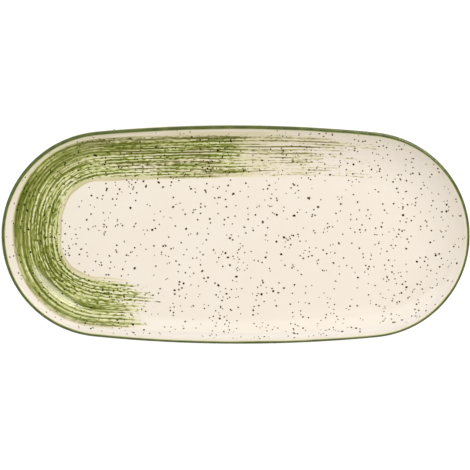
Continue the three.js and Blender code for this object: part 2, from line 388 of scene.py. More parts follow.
def wall_cream(tree, place):
    """Cream of the glaze below the lip, with the far side's green stain and painted shade and the near
    side's painted light
    """
    axes = node(tree, "ShaderNodeSeparateXYZ", {"Vector": place})
    reach = node(tree, "ShaderNodeAttribute", attribute_name="from_crest").outputs["Fac"]
    towards = node(
        tree, "ShaderNodeVectorMath", {0: place, 1: (PAINTED_LIGHT_RIGHT / half_length, -1 / half_width, 0)},
        operation="DOT_PRODUCT",
    )
    places = {
        "from crest": node(tree, "ShaderNodeMath", {0: reach, 1: 1 / MM}, operation="MULTIPLY"),
        "far": node(tree, "ShaderNodeMath", {0: axes.outputs["Y"], 1: 1 / MM}, operation="MULTIPLY"),
        "near right": towards.outputs["Value"],
    }
    start, full, least, most = STAIN_AND_SHADE_LEFT
    left = node(tree, "ShaderNodeMapRange", {
        "Value": axes.outputs["X"], "From Min": start * MM, "From Max": full * MM,
        "To Min": least * STAIN_AND_SHADE_SHARE, "To Max": most * STAIN_AND_SHADE_SHARE,
    })
    # Green stain with painted shade in it, on the far side below the lip
    stain_and_shade = node(
        tree, "ShaderNodeMath", {0: region(tree, places, STAIN_AND_SHADE_BOUNDS), 1: left}, operation="MULTIPLY"
    )
    # Painted light: a whiter cream on the near side and a little at the right end, below the lip
    thick = node(tree, "ShaderNodeMix", {
        "Factor": region(tree, places, PAINTED_LIGHT_BOUNDS), "A": cream_colour(tree, place), "B": PAINTED_LIGHT_CREAM,
    }, data_type="RGBA")
    return node(tree, "ShaderNodeMix", {"Factor": stain_and_shade, "A": thick, "B": STAIN_AND_SHADE}, data_type="RGBA")


def glaze_surface(tree, shader, place):
    """Gloss of a fired glaze, with the slow ripple that it sets with"""
    ripple = node(
        tree, "ShaderNodeTexNoise", {"Vector": place, "Scale": 1 / GLAZE_RIPPLE_SIZE, "Detail": 1.0}
    )
    bump = node(
        tree, "ShaderNodeBump", {"Height": ripple, "Strength": 1.0, "Distance": GLAZE_RIPPLE_DEPTH}
    )
    tree.links.new(bump.outputs["Normal"], shader.inputs["Normal"])
    shader.inputs["Roughness"].default_value = GLAZE_ROUGHNESS
    shader.inputs["IOR"].default_value = GLAZE_IOR


# Opaque cream glaze, dipped and fired glossy: an even warm white with a faint mottle and soft highlights,
# and below the lip a green stain with painted shade on the far side and painted light on the near side
def cream_glaze():
    material, tree, shader = new_material("cream stoneware glaze, dipped and fired glossy")
    place = node(tree, "ShaderNodeTexCoord").outputs["Object"]
    tree.links.new(wall_cream(tree, place).outputs["Result"], shader.inputs["Base Color"])
    glaze_surface(tree, shader, place)
    return material


# Bare stoneware: the clay's own buff brown, dull and gritty where the glaze was wiped off the foot
CLAY_TONES = ((0.35, linear("A08767")), (0.65, linear("C2AB8C")))
CLAY_GRIT_SIZE = 0.7 * MM
CLAY_GRIT_DEPTH = 0.08 * MM
CLAY_GRIT_STRENGTH = 0.6
CLAY_ROUGHNESS = 0.85


def bare_clay():
    material, tree, shader = new_material("buff stoneware clay, fired bare")
    place = node(tree, "ShaderNodeTexCoord").outputs["Object"]
    grit = node(
        tree, "ShaderNodeTexNoise", {"Vector": place, "Scale": 1 / CLAY_GRIT_SIZE, "Detail": 4.0}
    )
    colour = node(tree, "ShaderNodeValToRGB", {"Fac": grit}, stops=CLAY_TONES)
    tree.links.new(colour.outputs["Color"], shader.inputs["Base Color"])
    bump = node(
        tree, "ShaderNodeBump",
        {"Height": grit, "Strength": CLAY_GRIT_STRENGTH, "Distance": CLAY_GRIT_DEPTH},
    )
    tree.links.new(bump.outputs["Normal"], shader.inputs["Normal"])
    shader.inputs["Roughness"].default_value = CLAY_ROUGHNESS
    return material


# Green glaze brushed over the lip: dark olive in the middle, with a pale fringe at its wavering edges.
# Its edges are distances from the crest, and it lies further in on the far side and at the left end.
# A fringe starts outside its edge and ends a little inside it.
LIP_TONES = ((0.35, linear("505930")), (0.7, linear("636F36")))
LIP_FRINGE = linear("D2D29E")
LIP_EDGE_INSIDE = -0.12 * MM
LIP_EDGE_OUTSIDE = 2.6 * MM
LIP_FRINGE_WIDTH = 0.8 * MM
LIP_FRINGE_LAP = LIP_FRINGE_WIDTH / 3
LIP_EDGES = [
    ("reach", LIP_EDGE_INSIDE - LIP_FRINGE_WIDTH, LIP_EDGE_INSIDE + LIP_FRINGE_LAP),
    ("reach", LIP_EDGE_OUTSIDE + LIP_FRINGE_WIDTH, LIP_EDGE_OUTSIDE - LIP_FRINGE_LAP),
]
LIP_WAVER_SIZE = 28 * MM
LIP_WAVER = 0.9 * MM
LIP_LEAN_FAR = 0.9 * MM
LIP_LEAN_LEFT = 0.2 * MM

# Between these shares of the way over a fringe its own colour comes in, and then the green
FRINGE_SHARES = (0.0, 0.45)
GREEN_SHARES = (0.5, 1.0)

# The green is a thin coat that mirrors less than the cream, so its dark tones stay deep
GREEN_SPECULAR = 0.15


def lip_glaze():
    material, tree, shader = new_material("olive green glaze, brushed over the lip and fired glossy")
    place = node(tree, "ShaderNodeTexCoord").outputs["Object"]
    reach = node(tree, "ShaderNodeAttribute", attribute_name="from_crest").outputs["Fac"]
    axes = node(tree, "ShaderNodeSeparateXYZ", {"Vector": place})
    far = node(
        tree, "ShaderNodeMath", {0: axes.outputs["Y"], 1: LIP_LEAN_FAR / half_width, 2: reach},
        operation="MULTIPLY_ADD",
    )
    left = node(
        tree, "ShaderNodeMath", {0: axes.outputs["X"], 1: -LIP_LEAN_LEFT / half_length, 2: far},
        operation="MULTIPLY_ADD",
    )
    waver = node(
        tree, "ShaderNodeTexNoise", {"Vector": place, "Scale": 1 / LIP_WAVER_SIZE, "Detail": 3.0}
    )
    shift = node(
        tree, "ShaderNodeMapRange", {"Value": waver, "To Min": -LIP_WAVER / 2, "To Max": LIP_WAVER / 2}
    )
    shifted = node(tree, "ShaderNodeMath", {0: left, 1: shift}, operation="ADD")
    cover = region(tree, {"reach": shifted}, LIP_EDGES)
    thin, thick = (
        node(
            tree, "ShaderNodeMapRange", {"Value": cover, "From Min": start, "From Max": full},
            interpolation_type="SMOOTHSTEP",
        )
        for start, full in (FRINGE_SHARES, GREEN_SHARES)
    )
    load = node(
        tree, "ShaderNodeTexNoise", {"Vector": place, "Scale": 1 / GLAZE_RIPPLE_SIZE, "Detail": 2.0}
    )
    green = node(tree, "ShaderNodeValToRGB", {"Fac": load}, stops=LIP_TONES)
    # The cream under the fringe carries the same stain, painted shade and painted light
    ground = wall_cream(tree, place)
    fringe = node(tree, "ShaderNodeMix", {"Factor": thin, "A": ground, "B": LIP_FRINGE}, data_type="RGBA")
    band = node(tree, "ShaderNodeMix", {"Factor": thick, "A": fringe, "B": green}, data_type="RGBA")
    tree.links.new(band.outputs["Result"], shader.inputs["Base Color"])
    glaze_surface(tree, shader, place)
    shader.inputs["Specular IOR Level"].default_value = GREEN_SPECULAR
    return material


# Brushed sweep: a flat brush starts on the near side, goes round the left end and runs dry on the far side.
# Places along it are millimetres from its far tip, and its edges are insets in millimetres from the
# outline. The share across it is 0 at the outer edge and 1 at the inner one, with a margin beyond both.
SWEEP_FAR_TIP = 118 * MM
SWEEP_NEAR_TIP = -25 * MM
SWEEP_MIDDLE_INSET = 24 * MM
SWEEP_STEP = 1.4 * MM
SWEEP_LANES = 128
SWEEP_MARGIN = 0.13
SWEEP_FILM = 0.03 * MM
SWEEP_WELD = 0.2 * SWEEP_FILM
OUTER_EDGE = [
    (0, 6.5), (110, 7), (160, 6.9), (200, 5.7), (223, 5.4), (242, 4.8), (255, 5.5), (275, 7.2),
    (293, 8.3), (320, 7.5), (345, 7.3), (380, 8.3), (431, 9.5),
]
INNER_EDGE = [
    (0, 32.5), (60, 34), (140, 35.9), (185, 35), (222, 33.2), (245, 34.5), (275, 40.4), (290, 41.2),
    (315, 40.2), (355, 42.8), (431, 42.5),
]

# The film is this thick where the brush is full, 0 where it is bare and 1 where the glaze pooled. Regions
# add to it or take from it: it thins towards the inner edge, more so on the far side, and towards the two
# tips. The bounds of a region are places where it ends and where it is in full force.
FULL_FILM = 0.59
BARE_FILM = 0.02
GLASSY_PATCH = [("share", 0.2, 0.27), ("share", 0.5, 0.42), ("along", 300, 312), ("along", 352, 338)]
FILM_CHANGES = (
    (-0.12, [("share", 0.3, 0.7), ("along", 400, 360)]),
    (-0.15, [("share", 0.3, 0.6), ("along", 300, 200)]),
    (0.07, [("share", 0.5, 0.3), ("along", 110, 135), ("along", 240, 215)]),
    (-0.14, [("share", 0.06, 0.12), ("share", 0.4, 0.3), ("along", 312, 330)]),
    (0.07, [("share", 0.12, 0.05), ("along", 265, 290), ("along", 400, 380)]),
    (0.1, [("share", 0.55, 0.35), ("along", 235, 260), ("along", 330, 318)]),
    (0.1, GLASSY_PATCH),
    (-0.05, [("share", 0.12, 0.3), ("along", 190, 215), ("along", 300, 280)]),
    (0.04, [("share", 0.35, 0.25), ("along", 245, 262), ("along", 312, 300)]),
    (0.04, [("share", 0.3, 0.4), ("share", 0.75, 0.65), ("along", 115, 130), ("along", 205, 185)]),
    (0.08, [("share", 0.55, 0.7), ("along", 318, 335)]),
    (0.03, [("share", 0.15, 0.25), ("share", 0.65, 0.5), ("along", 135, 155), ("along", 230, 210)]),
    (-0.2, [("along", 124, 110)]),
    (-0.49, [("along", 118, 40)]),
    (-0.36, [("ragged", 50, 8)]),
    (-0.22, [("along", 330, 370)]),
    (-1.8, [("ragged", 377, 413)]),
)

# Marks that the brush leaves: length and pitch in millimetres, then two levels of a noise and what the
# film gains at each. Broad ones are its tufts and the pools that it leaves. Fine ones are lines scraped by
# single bristles, lines that others draw, and streaks. Grain is the roughness of the clay, and beads in its
# pores. Bristles and grain are drawn coarser than they are, so that they show in a view of the whole plate.
# Each kind of mark is read from another place of the noise, this far on from the one before.
SWEEP_WIDTH_MM = 30.0
MARK_SHIFT = 7.3
BROAD_MARKS = (
    (80, 6, 0.28, 0.72, -0.08, 0.08),
    (30, 8, 0.28, 0.72, -0.1, 0.1),
)
FINE_MARKS = (
    (100, 1.1, 0.3, 0.44, -0.4, 0.06),
    (40, 1.1, 0.57, 0.7, -0.05, 0.32),
    (16, 1.5, 0.28, 0.72, -0.14, 0.14),
)
GRAIN_MARKS = (
    (4, 0.8, 0.28, 0.72, -0.19, 0.19),
    (2.6, 1.2, 0.66, 0.74, 0.0, 0.42),
)
BROAD_SHIFT = 61.5
COMB_SHIFT = 64.9
FINE_SHIFT = 88.1
GRAIN_SHIFT = 41.0
WASH_SHIFT = 57.1

# The bristles also comb the film into even lines, which drift a little to the side and come and go
COMB_PITCH = 2.2
COMB_DEPTH = 0.4
COMB_DRIFT = (90, 12, 0.0, 1.0, 0.0, 4.5)
COMB_FADE = (24, 4, 0.32, 0.62, 0.3, 1.0)

# Each tuft lifts off at a place of its own, so the two tips are ragged
TIP_RAGS = (400, 1.7, 0.28, 0.72, -8.0, 8.0)
TIP_SHIFT = 19.3

# The inner edge of the wash waves a little
EDGE_WAVES = (22, 900, 0.28, 0.72, -0.018, 0.018)
WAVES_SHIFT = 33.7

# The marks and the grain are stronger or weaker in these regions, by this share
MARK_GAINS = (
    (0.1, [("along", 130, 105)]),
    (-0.35, [("share", 0.5, 0.3), ("along", 205, 225), ("along", 310, 295)]),
    (-0.2, [("share", 0.75, 0.55), ("along", 205, 220), ("along", 265, 250)]),
    (0.35, [("share", 0.25, 0.45), ("along", 135, 155), ("along", 225, 205)]),
    (-0.1, [("along", 335, 350)]),
    (-0.4, [("share", 0.35, 0.15), ("along", 270, 300)]),
    (-0.75, GLASSY_PATCH),
)
GRAIN_GAINS = (
    (0.2, [("along", 340, 370)]),
    (0.4, [("share", 0.35, 0.6)]),
    (-0.35, [("along", 140, 110)]),
)

# The marks end at two edges, and a thin wash lies under them and beyond the inner one, gathered in a line.
# On the far side a faint halo of it also lies along the outer edge.
MARK_EDGES = (
    [("share", -0.03, 0.02), ("share", 0.97, 0.88)],
    [("share", -0.03, 0.02), ("share", 0.995, 0.95), ("along", 190, 150)],
)
WASH = (30, 4, 0.28, 0.72, 0.08, 0.26)
WASH_EDGES = [("share", -0.03, 0.02), ("waved", 1.01, 0.99), ("ragged", 55, 140), ("ragged", 390, 365)]
WASH_LINE = [("waved", 0.965, 0.985), ("along", 110, 200)]
WASH_LINE_FILM = 0.12
HALO_FILM = 0.12
HALOS = (
    [("share", -0.07, -0.02), ("share", 0.3, 0.1), ("along", 30, 90), ("along", 210, 190)],
    [("share", -0.12, -0.07), ("share", 0.3, 0.1), ("along", 70, 100), ("along", 180, 160)],
)


def eased(along, places):
    """Smooth curve through places, at a distance along the sweep in millimetres"""
    spots = [places[0], *places, places[-1]]
    i = max(k for k in range(1, len(spots) - 2) if spots[k][0] <= along or k == 1)
    (a, va), (b, vb), (c, vc), (d, vd) = spots[i - 1:i + 3]
    t = min(max((along - b) / (c - b), 0), 1)
    slope_b = (vc - va) / (c - a) * (c - b)
    slope_c = (vd - vb) / (d - b) * (c - b)
    return (
        vb * (2 * t ** 3 - 3 * t ** 2 + 1) + slope_b * (t ** 3 - 2 * t ** 2 + t)
        + vc * (3 * t ** 2 - 2 * t ** 3) + slope_c * (t ** 3 - t ** 2)
    )


def sweep_guide():
    """The outline beside the sweep, each point marked with its place along it and its two edges"""
    side = SIDE_RADIUS - SWEEP_MIDDLE_INSET
    end = end_radius - SWEEP_MIDDLE_INSET
    far_turns = (math.acos(SWEEP_FAR_TIP / side), HALF_TURN - end_half_angle)
    end_turns = (HALF_TURN - end_half_angle, HALF_TURN + end_half_angle)
    near_turns = (HALF_TURN + end_half_angle, 2 * HALF_TURN - math.acos(SWEEP_NEAR_TIP / side))
    points = []
    places = []
    start = 0.0
    for centre, radius, middle, turns in (
        (Vector((0, -side_centre)), SIDE_RADIUS, side, far_turns),
        (Vector((-end_centre, 0)), end_radius, end, end_turns),
        (Vector((0, side_centre)), SIDE_RADIUS, side, near_turns),
    ):
        length = middle * (turns[1] - turns[0])
        steps = round(length / SWEEP_STEP)
        points += [point for point, out in arc_points(centre, radius, *turns, steps)]
        places += [start + length * step / steps for step in range(steps)]
        start += length
    marks = {
        "along": places,
        "outer_inset": [eased(place / MM, OUTER_EDGE) * MM for place in places],
        "inner_inset": [eased(place / MM, INNER_EDGE) * MM for place in places],
    }
    return line_object("sweep guide", points, False, marks), start


def brush_marks(tree, flat, rows, shift):
    """Sum of several kinds of marks, each a noise drawn out along the sweep"""
    total = 0.0
    for length, pitch, low, high, least, most in rows:
        shift += MARK_SHIFT
        stretched = node(
            tree, "ShaderNodeVectorMath", {0: flat, 1: (1 / length, 1 / pitch, 0), 2: (shift, shift, 0)},
            operation="MULTIPLY_ADD",
        )
        noise = node(
            tree, "ShaderNodeTexNoise", {"Vector": stretched, "Scale": 1.0, "Detail": 0.0},
            noise_dimensions="2D",
        )
        mark = node(tree, "ShaderNodeMapRange", {
            "Value": noise, "From Min": low, "From Max": high, "To Min": least, "To Max": most,
        })
        total = node(tree, "ShaderNodeMath", {0: total, 1: mark}, operation="ADD")
    return total


def laid_flat(tree, along, share):
    """Millimetres across the sweep, and the place on it laid out flat"""
    across = node(tree, "ShaderNodeMath", {0: share, 1: SWEEP_WIDTH_MM}, operation="MULTIPLY")
    return across, node(tree, "ShaderNodeCombineXYZ", {"X": along, "Y": across})


def any_region(tree, places, choices):
    """The most that any of several regions gives"""
    most = 0.0
    for bounds in choices:
        inside = region(tree, places, bounds)
        most = node(tree, "ShaderNodeMath", {0: inside, 1: most}, operation="MAXIMUM")
    return most


def gained(tree, places, value, gains):
    """A value made stronger or weaker in several regions, by a share in each"""
    for gain, bounds in gains:
        inside = region(tree, places, bounds)
        factor = node(tree, "ShaderNodeMath", {0: inside, 1: gain, 2: 1.0}, operation="MULTIPLY_ADD")
        value = node(tree, "ShaderNodeMath", {0: value, 1: factor}, operation="MULTIPLY")
    return value


def paint_film(tree, along, share):
    """Thickness of the green film from millimetres along the sweep and the share across it"""
    across, flat = laid_flat(tree, along, share)
    rags = brush_marks(tree, flat, [TIP_RAGS], TIP_SHIFT)
    ragged = node(tree, "ShaderNodeMath", {0: along, 1: rags}, operation="ADD")
    waves = brush_marks(tree, flat, [EDGE_WAVES], WAVES_SHIFT)
    waved = node(tree, "ShaderNodeMath", {0: share, 1: waves}, operation="ADD")
    places = {"along": along, "share": share, "ragged": ragged, "waved": waved}

    # Load of the brush in its tufts and regions
    broad = brush_marks(tree, flat, BROAD_MARKS, BROAD_SHIFT)
    film = node(tree, "ShaderNodeMath", {0: broad, 1: FULL_FILM}, operation="ADD")
    for change, bounds in FILM_CHANGES:
        inside = region(tree, places, bounds)
        film = node(tree, "ShaderNodeMath", {0: inside, 1: change, 2: film}, operation="MULTIPLY_ADD")

    # Combed lines, bristle lines and grain, between the edges of the marks
    drift = brush_marks(tree, flat, [COMB_DRIFT], COMB_SHIFT)
    bent = node(tree, "ShaderNodeMath", {0: across, 1: drift}, operation="ADD")
    turn = node(tree, "ShaderNodeMath", {0: bent, 1: 2 * math.pi / COMB_PITCH}, operation="MULTIPLY")
    wave = node(tree, "ShaderNodeMath", {0: turn}, operation="SINE")
    fade = brush_marks(tree, flat, [COMB_FADE], COMB_SHIFT)
    lines = node(tree, "ShaderNodeMath", {0: wave, 1: fade}, operation="MULTIPLY")
    fine = brush_marks(tree, flat, FINE_MARKS, FINE_SHIFT)
    fine = node(tree, "ShaderNodeMath", {0: lines, 1: COMB_DEPTH, 2: fine}, operation="MULTIPLY_ADD")
    grain = gained(tree, places, brush_marks(tree, flat, GRAIN_MARKS, GRAIN_SHIFT), GRAIN_GAINS)
    fine = node(tree, "ShaderNodeMath", {0: fine, 1: grain}, operation="ADD")
    fine = gained(tree, places, fine, MARK_GAINS)
    film = node(tree, "ShaderNodeMath", {0: film, 1: fine}, operation="ADD")
    marked = any_region(tree, places, MARK_EDGES)
    film = node(tree, "ShaderNodeMath", {0: film, 1: marked}, operation="MULTIPLY")

    # Wash below, and the halo beside it
    wash = brush_marks(tree, flat, [WASH], WASH_SHIFT)
    line = region(tree, places, WASH_LINE)
    wash = node(tree, "ShaderNodeMath", {0: line, 1: WASH_LINE_FILM, 2: wash}, operation="MULTIPLY_ADD")
    washed = region(tree, places, WASH_EDGES)
    wash = node(tree, "ShaderNodeMath", {0: wash, 1: washed}, operation="MULTIPLY")
    film = node(tree, "ShaderNodeMath", {0: wash, 1: film}, operation="MAXIMUM")
    halo = any_region(tree, places, HALOS)
    halo = node(tree, "ShaderNodeMath", {0: halo, 1: HALO_FILM}, operation="MULTIPLY")
    return node(tree, "ShaderNodeMath", {0: halo, 1: film}, operation="MAXIMUM")


# Green brushed on the cream: pale where the film is thin, olive where it pooled, combed by the bristles.
# It is khaki where the brush ran dry, where it set down, along the inner border, along two stretches of the
# outer edge and in patches of the far side. A film thinner than the cover lets the cream show through.
FILM_STOPS = (0.0, 0.15, 0.3, 0.45, 0.6, 0.78, 1.0)
GREEN_TONES = ("EAE6C6", "E0E0AE", "C5C782", "A3A860", "888F42", "717B29", "5A6210")
KHAKI_TONES = ("ECE2C8", "E2D7B4", "CFC59A", "B4AE82", "989460", "7F7F47", "6A6C30")
KHAKI_REGIONS = (
    [("along", 128, 106)],
    [("along", 360, 430)],
    [("share", 0.88, 0.95)],
    [("share", 0.14, 0.04), ("along", 240, 220)],
    [("share", 0.06, 0.02), ("along", 265, 285)],
)
KHAKI_FAR = [("along", 260, 190)]
KHAKI_PATCHES = (40, 5, 0.45, 0.7, 0.0, 1.0)
KHAKI_SHIFT = 64.6
COVER_FILM = 0.12


def sweep_glaze(length):
    material, tree, shader = new_material("green brush glaze, fired glossy over the cream")
    place = node(tree, "ShaderNodeTexCoord")
    flat = node(tree, "ShaderNodeSeparateXYZ", {"Vector": place.outputs["UV"]})
    along = node(tree, "ShaderNodeMapRange", {"Value": flat.outputs["X"], "To Max": length / MM})
    share = node(
        tree, "ShaderNodeMapRange",
        {"Value": flat.outputs["Y"], "To Min": -SWEEP_MARGIN, "To Max": 1 + SWEEP_MARGIN},
    )
    film = paint_film(tree, along, share)
    green, khaki = (
        node(
            tree, "ShaderNodeValToRGB", {"Fac": film},
            stops=[(stop, linear(code)) for stop, code in zip(FILM_STOPS, codes)],
        )
        for codes in (GREEN_TONES, KHAKI_TONES)
    )
    places = {"along": along, "share": share}
    across, spread = laid_flat(tree, along, share)
    patches = brush_marks(tree, spread, [KHAKI_PATCHES], KHAKI_SHIFT)
    far = region(tree, places, KHAKI_FAR)
    dry = node(tree, "ShaderNodeMath", {0: patches, 1: far}, operation="MULTIPLY")
    elsewhere = any_region(tree, places, KHAKI_REGIONS)
    dry = node(tree, "ShaderNodeMath", {0: dry, 1: elsewhere}, operation="MAXIMUM")
    tone = node(tree, "ShaderNodeMix", {"Factor": dry, "A": green, "B": khaki}, data_type="RGBA")
    ground = cream_colour(tree, place.outputs["Object"])
    cover = node(tree, "ShaderNodeMapRange", {"Value": film, "From Max": COVER_FILM})
    colour = node(tree, "ShaderNodeMix", {"Factor": cover, "A": ground, "B": tone}, data_type="RGBA")
    tree.links.new(colour.outputs["Result"], shader.inputs["Base Color"])
    glaze_surface(tree, shader, place.outputs["Object"])
    shader.inputs["Specular IOR Level"].default_value = GREEN_SPECULAR
    return material


def brush_sweep_tree():
    """Lays the film of the sweep on the hollow wall and cuts away what is bare"""
    tree, given, result = new_tree("brush sweep", {
        "Lanes": "NodeSocketInt",
        "Margin": "NodeSocketFloat",
        "Length": "NodeSocketFloat",
        "Wall Inset": "NodeSocketFloat",
        "Wall Height": "NodeSocketFloat",
        "Wall Radius": "NodeSocketFloat",
        "Film": "NodeSocketFloat",
        "Weld": "NodeSocketFloat",
        "Material": "NodeSocketMaterial",
    })
    path = node(tree, "GeometryNodeMeshToCurve", {"Mesh": given.outputs["Geometry"]})
    upright = node(tree, "GeometryNodeSetCurveNormal", {"Curve": path}, mode="Z_UP")
    outward = node(
        tree, "GeometryNodeStoreNamedAttribute",
        {"Geometry": upright, "Name": "outward", "Value": node(tree, "GeometryNodeInputNormal")},
        data_type="FLOAT_VECTOR",
    )
    rim = node(
        tree, "GeometryNodeStoreNamedAttribute",
        {"Geometry": outward, "Name": "rim_point", "Value": node(tree, "GeometryNodeInputPosition")},
        data_type="FLOAT_VECTOR",
    )

    # Lanes of the sweep, whose own width doesn't count because each point is then seated by its share
    line = node(tree, "GeometryNodeCurvePrimitiveLine", {"Start": (0, 0, 0), "End": (-MM, 0, 0)})
    lanes = node(tree, "GeometryNodeResampleCurve", {"Curve": line, "Count": given.outputs["Lanes"]})
    last = node(tree, "ShaderNodeMath", {0: given.outputs["Margin"], 1: 1.0}, operation="ADD")
    first = node(tree, "ShaderNodeMath", {0: given.outputs["Margin"], 1: -1.0}, operation="MULTIPLY")
    lane = node(tree, "GeometryNodeSplineParameter").outputs["Factor"]
    spread = node(tree, "ShaderNodeMapRange", {"Value": lane, "To Min": last, "To Max": first})
    shares = node(
        tree, "GeometryNodeStoreNamedAttribute", {"Geometry": lanes, "Name": "share", "Value": spread},
        data_type="FLOAT",
    )
    ribbon = node(tree, "GeometryNodeCurveToMesh", {"Curve": rim, "Profile Curve": shares})
    marks = {
        name: node(tree, "GeometryNodeInputNamedAttribute", {"Name": name}, data_type=kind)
        for name, kind in (
            ("along", "FLOAT"), ("outer_inset", "FLOAT"), ("inner_inset", "FLOAT"), ("share", "FLOAT"),
            ("outward", "FLOAT_VECTOR"), ("rim_point", "FLOAT_VECTOR"),
        )
    }
    width = node(
        tree, "ShaderNodeMath", {0: marks["inner_inset"], 1: marks["outer_inset"]}, operation="SUBTRACT"
    )
    inset = node(
        tree, "ShaderNodeMath", {0: width, 1: marks["share"], 2: marks["outer_inset"]},
        operation="MULTIPLY_ADD",
    )

    # Height of the hollow wall at that inset
    from_toe = node(
        tree, "ShaderNodeMath", {0: given.outputs["Wall Inset"], 1: inset}, operation="SUBTRACT"
    )
    up_wall = node(tree, "ShaderNodeMath", {0: from_toe, 1: 0.0}, operation="MAXIMUM")
    slant = node(tree, "ShaderNodeMath", {0: up_wall, 1: given.outputs["Wall Radius"]}, operation="DIVIDE")
    lean = node(tree, "ShaderNodeMath", {0: slant}, operation="ARCSINE")
    drop = node(tree, "ShaderNodeMath", {0: lean}, operation="COSINE")
    fall = node(tree, "ShaderNodeMath", {0: drop, 1: given.outputs["Wall Radius"]}, operation="MULTIPLY")
    height = node(tree, "ShaderNodeMath", {0: given.outputs["Wall Height"], 1: fall}, operation="SUBTRACT")
    inwards = node(tree, "ShaderNodeVectorMath", {0: marks["outward"], "Scale": inset}, operation="SCALE")
    spot = node(tree, "ShaderNodeVectorMath", {0: marks["rim_point"], 1: inwards}, operation="SUBTRACT")
    lift = node(tree, "ShaderNodeCombineXYZ", {"Z": height})
    seat = node(tree, "ShaderNodeVectorMath", {0: spot, 1: lift}, operation="ADD")
    laid = node(tree, "GeometryNodeSetPosition", {"Geometry": ribbon, "Position": seat})

    # Bare faces are cut away
    along = node(tree, "ShaderNodeMath", {0: marks["along"], 1: 1 / MM}, operation="MULTIPLY")
    load = paint_film(tree, along, marks["share"])
    loaded = node(
        tree, "GeometryNodeStoreNamedAttribute", {"Geometry": laid, "Name": "film", "Value": load},
        data_type="FLOAT",
    )
    bare = node(
        tree, "FunctionNodeCompare", {"A": load, "B": BARE_FILM}, data_type="FLOAT", operation="LESS_THAN"
    )
    cut = node(tree, "GeometryNodeDeleteGeometry", {"Geometry": loaded, "Selection": bare}, domain="FACE")

    # Place on the film laid out flat, for its material
    flat_along = node(
        tree, "ShaderNodeMath", {0: marks["along"], 1: given.outputs["Length"]}, operation="DIVIDE"
    )
    flat_across = node(
        tree, "ShaderNodeMapRange", {"Value": marks["share"], "From Min": first, "From Max": last},
        clamp=False,
    )
    flat = node(tree, "ShaderNodeCombineXYZ", {"X": flat_along, "Y": flat_across})
    mapped = node(
        tree, "GeometryNodeStoreNamedAttribute", {"Geometry": cut, "Name": "UVMap", "Value": flat},
        data_type="FLOAT2", domain="CORNER",
    )

    # Film with a top, an underside on the cream glaze and closed edges
    film = node(
        tree, "GeometryNodeExtrudeMesh",
        {"Mesh": mapped, "Offset Scale": given.outputs["Film"], "Individual": False}, mode="FACES",
    )
    under = node(tree, "GeometryNodeFlipFaces", {"Mesh": mapped})
    both = node(tree, "GeometryNodeJoinGeometry", {"Geometry": under})
    tree.links.new(film.outputs["Mesh"], both.inputs["Geometry"])
    closed = node(
        tree, "GeometryNodeMergeByDistance", {"Geometry": both, "Distance": given.outputs["Weld"]}
    )
    end_tree(tree, given, result, closed)
    return tree


# Iron specks: grains in the clay that bleed through the glaze, black to brown and softer at the edge.
# From this share of its radius outwards a grain fades to its rim's colour, by this share at most.
SPECK_TONES = ((0.0, linear("704C1A")), (0.15, linear("4C2E06")), (0.5, linear("261700")))
SPECK_RIM = linear("7A4A08")
SPECK_RIM_START = 0.5
SPECK_RIM_SHARE = 0.6
SPECK_ROUGHNESS = 0.45
SPECK_SPECULAR = 0.05

# Those that the green touches look darker and larger by these shares, fully so under the thicker film
SPECK_PAINTED = linear("101400")
PAINTED_SHARE = 0.85
PAINTED_GROWTH = 0.25
PAINTED_FILM = (0.2, 0.5)
PAINT_REACH = 0.3 * MM

# Sizes of the grains, drawn wider than the smallest real ones so that all of them show, their number to a
# square metre, and how seldom one is as large as the largest
SPECK_SMALLEST = 0.76 * MM
SPECK_USUAL = 1.43 * MM
SPECK_LARGEST = 1.9 * MM
SPECK_RARITY = 30.0
SPECK_STRETCH = (0.75, 1.2)
SPECK_THICKNESS = 0.14 * MM
SPECK_DENSITY = 33000.0
GRAIN_SIDES = 8
GRAIN_RINGS = 4
GRAIN_RADIUS = 0.5

# They lie in clumps: two levels of a noise, and the share of their density at each
SPECK_CLUMP_SIZE = 20 * MM
SPECK_CLUMPS = (0.35, 0.65, 0.7, 1.3)

SPECK_SEED = 11
STRETCH_SEED = 5
TONE_SEED = 23


def speck_glaze():
    material, tree, shader = new_material("iron specks fired into the glaze")
    place = node(tree, "ShaderNodeTexCoord").outputs["Object"]
    tone = node(tree, "ShaderNodeAttribute", attribute_name="tone").outputs["Fac"]
    rim = node(tree, "ShaderNodeAttribute", attribute_name="grain_edge").outputs["Fac"]
    core = node(tree, "ShaderNodeValToRGB", {"Fac": tone}, stops=SPECK_TONES)
    bleed = node(
        tree, "ShaderNodeMapRange", {"Value": rim, "From Min": SPECK_RIM_START, "To Max": SPECK_RIM_SHARE}
    )
    bare = node(tree, "ShaderNodeMix", {"Factor": bleed, "A": core, "B": SPECK_RIM}, data_type="RGBA")
    painted = node(tree, "ShaderNodeAttribute", attribute_name="painted").outputs["Fac"]
    deeper = node(tree, "ShaderNodeMath", {0: painted, 1: PAINTED_SHARE}, operation="MULTIPLY")
    colour = node(
        tree, "ShaderNodeMix", {"Factor": deeper, "A": bare, "B": SPECK_PAINTED}, data_type="RGBA"
    )
    tree.links.new(colour.outputs["Result"], shader.inputs["Base Color"])
    glaze_surface(tree, shader, place)
    shader.inputs["Roughness"].default_value = SPECK_ROUGHNESS
    shader.inputs["Specular IOR Level"].default_value = SPECK_SPECULAR
    return material


